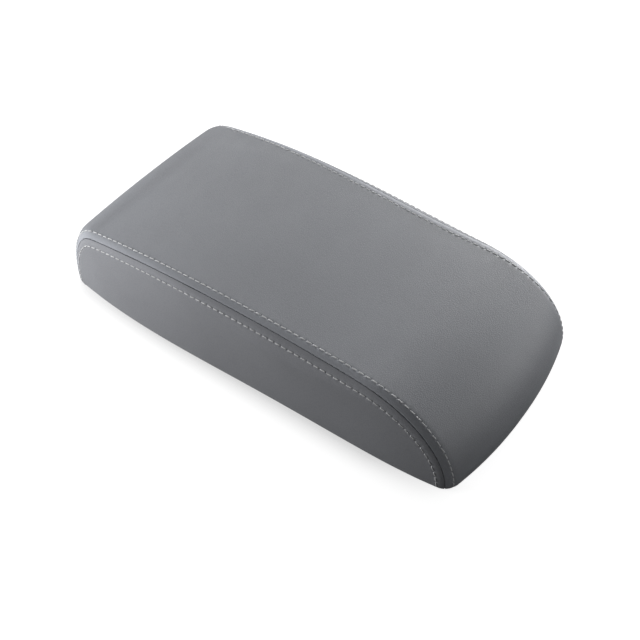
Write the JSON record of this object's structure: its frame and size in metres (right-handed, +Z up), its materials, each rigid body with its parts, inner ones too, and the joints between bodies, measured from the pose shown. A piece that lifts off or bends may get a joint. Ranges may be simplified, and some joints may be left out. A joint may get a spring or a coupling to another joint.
{
  "type": "center console armrest",
  "caption": "Padded console lid and armrest with a sewn leather cover over foam, a moulded carrier, a rear hinge and a front latch.",
  "frame": {"origin": "centre of the wrapped rim's outline, on the plane that the rim stands on", "axes": "+X forwards along the lid, away from the hinge; +Y to the left; +Z up through the pad"},
  "size_m": [0.3248, 0.1606, 0.0618],
  "materials": {
    "top_leather": "matte",
    "side_leather": "matte",
    "foam": "matte",
    "carrier_plastic": "matte",
    "liner_plastic": "matte",
    "rubber": "matte",
    "steel": "satin",
    "zinc_steel": "satin",
    "dark_steel": "satin",
    "nylon": "satin",
    "latch_plastic": "satin"
  },
  "bodies": {
    "lid": {"top_panel": "top_leather", "left_side_panel": "side_leather", "right_side_panel": "side_leather", "foam_pad": "foam", "lid_carrier": "carrier_plastic", "inner_panel": "liner_plastic", "panel_screw_1": "zinc_steel", "panel_screw_2": "zinc_steel", "panel_screw_3": "zinc_steel", "panel_screw_4": "zinc_steel", "panel_screw_5": "zinc_steel", "panel_screw_6": "zinc_steel", "hinge_screw_1": "zinc_steel", "hinge_screw_2": "zinc_steel", "hinge_screw_3": "zinc_steel", "hinge_screw_4": "zinc_steel", "latch_screw_1": "zinc_steel", "latch_screw_2": "zinc_steel", "bumper_1": "rubber", "bumper_2": "rubber", "bumper_3": "rubber", "bumper_4": "rubber", "hinge_bracket": "steel", "hinge_pin": "steel", "hinge_washer_left": "nylon", "hinge_washer_right": "nylon", "latch_housing": "dark_steel", "latch_pin": "steel"},
    "leaf": {"hinge_leaf": "steel"},
    "latch": {"latch_lever": "latch_plastic", "latch_spring": "steel"}
  },
  "joints": [
    {"name": "lid_hinge", "type": "hinge", "parent": "lid", "child": "leaf", "pos_m": [-0.14444, 0, 0.0058], "axis": [0, 1, 0], "range_deg": [0, 100]},
    {"name": "latch_pivot", "type": "hinge", "parent": "lid", "child": "latch", "pos_m": [0.13294, 0, 0.0079], "axis": [0, -1, 0], "range_deg": [0, 18], "stiffness_Nm_per_rad": 0.15, "springref_deg": -20.05}
  ]
}
